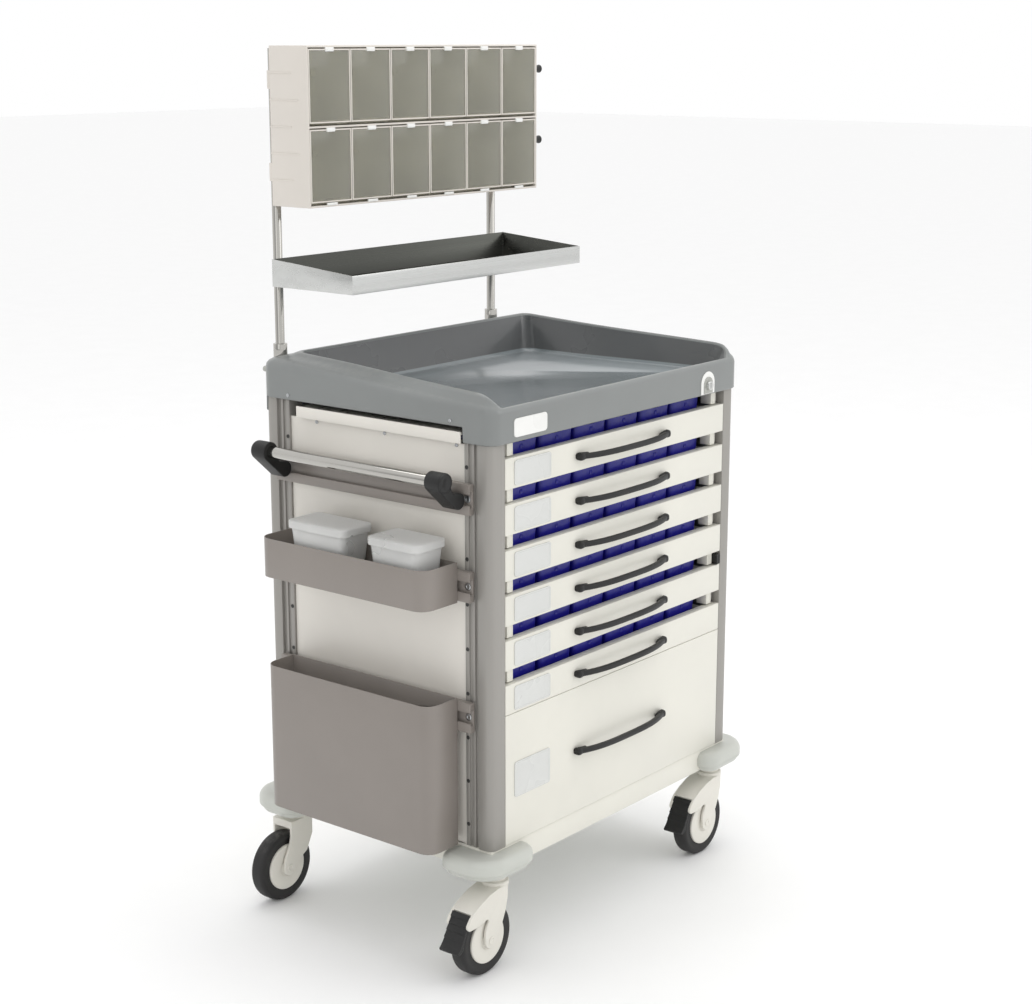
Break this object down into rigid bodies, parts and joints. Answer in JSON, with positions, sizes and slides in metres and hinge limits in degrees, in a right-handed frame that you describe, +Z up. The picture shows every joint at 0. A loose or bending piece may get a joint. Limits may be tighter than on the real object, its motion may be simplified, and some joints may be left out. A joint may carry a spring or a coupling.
{
  "type": "medication cart",
  "caption": "Mobile medication cart with shallow and deep drawers, moulded worktop, side rail fittings, steel shelf and an overhead rack of clear tilt bins.",
  "frame": {"origin": "centre of the bounding box in plan, on the floor under the wheels", "axes": "+Z up; the drawers open towards -Y; the push bar side faces -X"},
  "size_m": [0.8486, 0.5632, 1.495],
  "materials": {
    "cream_sheet": "smooth satin cream powder coat on sheet steel",
    "post_profile": "warm grey satin extruded profile with grooves",
    "grey_moulding": "fine-grained light grey moulded plastic",
    "worktop_moulding": "fine-grained mid grey moulded tray",
    "runner": "smooth light plastic runners",
    "satin_steel": "stainless sheet brushed along its length",
    "chrome_tube": "polished chrome plate",
    "warm_grey_sheet": "satin warm grey powder coat",
    "black_moulding": "black fine-grained moulding",
    "rack_moulding": "smooth off-white moulding",
    "clear_bin": "clear smoky moulded plastic",
    "caster_moulding": "glossy off-white nylon",
    "tyre": "black elastic tread with an off-white hub"
  },
  "bodies": {
    "cart": {"chassis": "cream_sheet", "bumper_deck": "grey_moulding", "corner_post_front_left": "post_profile", "corner_post_front_right": "post_profile", "corner_post_rear_left": "post_profile", "corner_post_rear_right": "post_profile", "cabinet_shell": "cream_sheet", "worktop": "worktop_moulding", "runner_frame_right": "runner", "runner_frame_left": "runner", "rail_upper": "warm_grey_sheet", "rail_middle": "warm_grey_sheet", "rail_lower": "warm_grey_sheet", "push_bar": "chrome_tube", "push_bar_bracket_front": "black_moulding", "push_bar_bracket_rear": "black_moulding", "side_basket": "warm_grey_sheet", "upright_left": "chrome_tube", "upright_right": "chrome_tube", "steel_shelf": "satin_steel", "rack_shell": "rack_moulding"},
    "drawer_body_1": {"drawer_1": "cream_sheet", "drawer_handle_1": "black_moulding"},
    "drawer_body_2": {"drawer_2": "cream_sheet", "drawer_handle_2": "black_moulding"},
    "drawer_body_3": {"drawer_3": "cream_sheet", "drawer_handle_3": "black_moulding"},
    "drawer_body_4": {"drawer_4": "cream_sheet", "drawer_handle_4": "black_moulding"},
    "drawer_body_5": {"drawer_5": "cream_sheet", "drawer_handle_5": "black_moulding"},
    "drawer_body_6": {"drawer_6": "cream_sheet", "drawer_handle_6": "black_moulding"},
    "drawer_body_7": {"drawer_7": "cream_sheet", "drawer_handle_7": "black_moulding"},
    "tilt_bin_1_1_body": {"tilt_bin_1_1": "clear_bin"},
    "tilt_bin_1_2_body": {"tilt_bin_1_2": "clear_bin"},
    "tilt_bin_1_3_body": {"tilt_bin_1_3": "clear_bin"},
    "tilt_bin_1_4_body": {"tilt_bin_1_4": "clear_bin"},
    "tilt_bin_1_5_body": {"tilt_bin_1_5": "clear_bin"},
    "tilt_bin_1_6_body": {"tilt_bin_1_6": "clear_bin"},
    "tilt_bin_2_1_body": {"tilt_bin_2_1": "clear_bin"},
    "tilt_bin_2_2_body": {"tilt_bin_2_2": "clear_bin"},
    "tilt_bin_2_3_body": {"tilt_bin_2_3": "clear_bin"},
    "tilt_bin_2_4_body": {"tilt_bin_2_4": "clear_bin"},
    "tilt_bin_2_5_body": {"tilt_bin_2_5": "clear_bin"},
    "tilt_bin_2_6_body": {"tilt_bin_2_6": "clear_bin"},
    "side_shelf_body": {"side_shelf": "cream_sheet"},
    "waste_bin_body": {"waste_bin": "warm_grey_sheet"},
    "lock_body": {"lock_barrel": "satin_steel"},
    "fork_front_left": {"caster_fork_front_left": "caster_moulding"},
    "wheel_front_left": {"caster_wheel_front_left": "tyre"},
    "pedal_front_left": {"brake_pedal_front_left": "black_moulding"},
    "fork_front_right": {"caster_fork_front_right": "caster_moulding"},
    "wheel_front_right": {"caster_wheel_front_right": "tyre"},
    "pedal_front_right": {"brake_pedal_front_right": "black_moulding"},
    "fork_rear_left": {"caster_fork_rear_left": "caster_moulding"},
    "wheel_rear_left": {"caster_wheel_rear_left": "tyre"},
    "fork_rear_right": {"caster_fork_rear_right": "caster_moulding"},
    "wheel_rear_right": {"caster_wheel_rear_right": "tyre"}
  },
  "joints": [
    {"name": "drawer_1_slide", "type": "slide", "parent": "cart", "child": "drawer_body_1", "axis": [0, -1, 0], "range_m": [0, 0.36]},
    {"name": "drawer_2_slide", "type": "slide", "parent": "cart", "child": "drawer_body_2", "axis": [0, -1, 0], "range_m": [0, 0.36]},
    {"name": "drawer_3_slide", "type": "slide", "parent": "cart", "child": "drawer_body_3", "axis": [0, -1, 0], "range_m": [0, 0.36]},
    {"name": "drawer_4_slide", "type": "slide", "parent": "cart", "child": "drawer_body_4", "axis": [0, -1, 0], "range_m": [0, 0.36]},
    {"name": "drawer_5_slide", "type": "slide", "parent": "cart", "child": "drawer_body_5", "axis": [0, -1, 0], "range_m": [0, 0.36]},
    {"name": "drawer_6_slide", "type": "slide", "parent": "cart", "child": "drawer_body_6", "axis": [0, -1, 0], "range_m": [0, 0.36]},
    {"name": "drawer_7_slide", "type": "slide", "parent": "cart", "child": "drawer_body_7", "axis": [0, -1, 0], "range_m": [0, 0.36]},
    {"name": "tilt_bin_1_1_tilt", "type": "hinge", "parent": "cart", "child": "tilt_bin_1_1_body", "pos_m": [-0.25281, 0.154, 1.375], "axis": [1, 0, 0], "range_deg": [0, 40]},
    {"name": "tilt_bin_1_2_tilt", "type": "hinge", "parent": "cart", "child": "tilt_bin_1_2_body", "pos_m": [-0.15381, 0.154, 1.375], "axis": [1, 0, 0], "range_deg": [0, 40]},
    {"name": "tilt_bin_1_3_tilt", "type": "hinge", "parent": "cart", "child": "tilt_bin_1_3_body", "pos_m": [-0.05481, 0.154, 1.375], "axis": [1, 0, 0], "range_deg": [0, 40]},
    {"name": "tilt_bin_1_4_tilt", "type": "hinge", "parent": "cart", "child": "tilt_bin_1_4_body", "pos_m": [0.04419, 0.154, 1.375], "axis": [1, 0, 0], "range_deg": [0, 40]},
    {"name": "tilt_bin_1_5_tilt", "type": "hinge", "parent": "cart", "child": "tilt_bin_1_5_body", "pos_m": [0.14319, 0.154, 1.375], "axis": [1, 0, 0], "range_deg": [0, 40]},
    {"name": "tilt_bin_1_6_tilt", "type": "hinge", "parent": "cart", "child": "tilt_bin_1_6_body", "pos_m": [0.24219, 0.154, 1.375], "axis": [1, 0, 0], "range_deg": [0, 40]},
    {"name": "tilt_bin_2_1_tilt", "type": "hinge", "parent": "cart", "child": "tilt_bin_2_1_body", "pos_m": [-0.25281, 0.154, 1.246], "axis": [1, 0, 0], "range_deg": [0, 40]},
    {"name": "tilt_bin_2_2_tilt", "type": "hinge", "parent": "cart", "child": "tilt_bin_2_2_body", "pos_m": [-0.15381, 0.154, 1.246], "axis": [1, 0, 0], "range_deg": [0, 40]},
    {"name": "tilt_bin_2_3_tilt", "type": "hinge", "parent": "cart", "child": "tilt_bin_2_3_body", "pos_m": [-0.05481, 0.154, 1.246], "axis": [1, 0, 0], "range_deg": [0, 40]},
    {"name": "tilt_bin_2_4_tilt", "type": "hinge", "parent": "cart", "child": "tilt_bin_2_4_body", "pos_m": [0.04419, 0.154, 1.246], "axis": [1, 0, 0], "range_deg": [0, 40]},
    {"name": "tilt_bin_2_5_tilt", "type": "hinge", "parent": "cart", "child": "tilt_bin_2_5_body", "pos_m": [0.14319, 0.154, 1.246], "axis": [1, 0, 0], "range_deg": [0, 40]},
    {"name": "tilt_bin_2_6_tilt", "type": "hinge", "parent": "cart", "child": "tilt_bin_2_6_body", "pos_m": [0.24219, 0.154, 1.246], "axis": [1, 0, 0], "range_deg": [0, 40]},
    {"name": "side_shelf_slide", "type": "slide", "parent": "cart", "child": "side_shelf_body", "axis": [-1, 0, 0], "range_m": [0, 0.26]},
    {"name": "waste_bin_lift", "type": "slide", "parent": "cart", "child": "waste_bin_body", "axis": [0, 0, 1], "range_m": [0, 0.15]},
    {"name": "lock_turn", "type": "hinge", "parent": "cart", "child": "lock_body", "pos_m": [0.27769, -0.257, 0.905], "axis": [0, -1, 0], "range_deg": [0, 90]},
    {"name": "swivel_front_left", "type": "hinge", "parent": "cart", "child": "fork_front_left", "pos_m": [-0.29131, -0.233, 0.15], "axis": [0, 0, 1], "continuous": true},
    {"name": "roll_front_left", "type": "hinge", "parent": "fork_front_left", "child": "wheel_front_left", "pos_m": [-0.32931, -0.233, 0.0625], "axis": [0, 1, 0], "continuous": true},
    {"name": "brake_front_left", "type": "hinge", "parent": "fork_front_left", "child": "pedal_front_left", "pos_m": [-0.37231, -0.233, 0.131], "axis": [0, 1, 0], "range_deg": [0, 12]},
    {"name": "swivel_front_right", "type": "hinge", "parent": "cart", "child": "fork_front_right", "pos_m": [0.34869, -0.233, 0.15], "axis": [0, 0, 1], "continuous": true},
    {"name": "roll_front_right", "type": "hinge", "parent": "fork_front_right", "child": "wheel_front_right", "pos_m": [0.31069, -0.233, 0.0625], "axis": [0, 1, 0], "continuous": true},
    {"name": "brake_front_right", "type": "hinge", "parent": "fork_front_right", "child": "pedal_front_right", "pos_m": [0.26769, -0.233, 0.131], "axis": [0, 1, 0], "range_deg": [0, 12]},
    {"name": "swivel_rear_left", "type": "hinge", "parent": "cart", "child": "fork_rear_left", "pos_m": [-0.29131, 0.233, 0.15], "axis": [0, 0, 1], "continuous": true},
    {"name": "roll_rear_left", "type": "hinge", "parent": "fork_rear_left", "child": "wheel_rear_left", "pos_m": [-0.32931, 0.233, 0.0625], "axis": [0, 1, 0], "continuous": true},
    {"name": "swivel_rear_right", "type": "hinge", "parent": "cart", "child": "fork_rear_right", "pos_m": [0.34869, 0.233, 0.15], "axis": [0, 0, 1], "continuous": true},
    {"name": "roll_rear_right", "type": "hinge", "parent": "fork_rear_right", "child": "wheel_rear_right", "pos_m": [0.31069, 0.233, 0.0625], "axis": [0, 1, 0], "continuous": true}
  ]
}
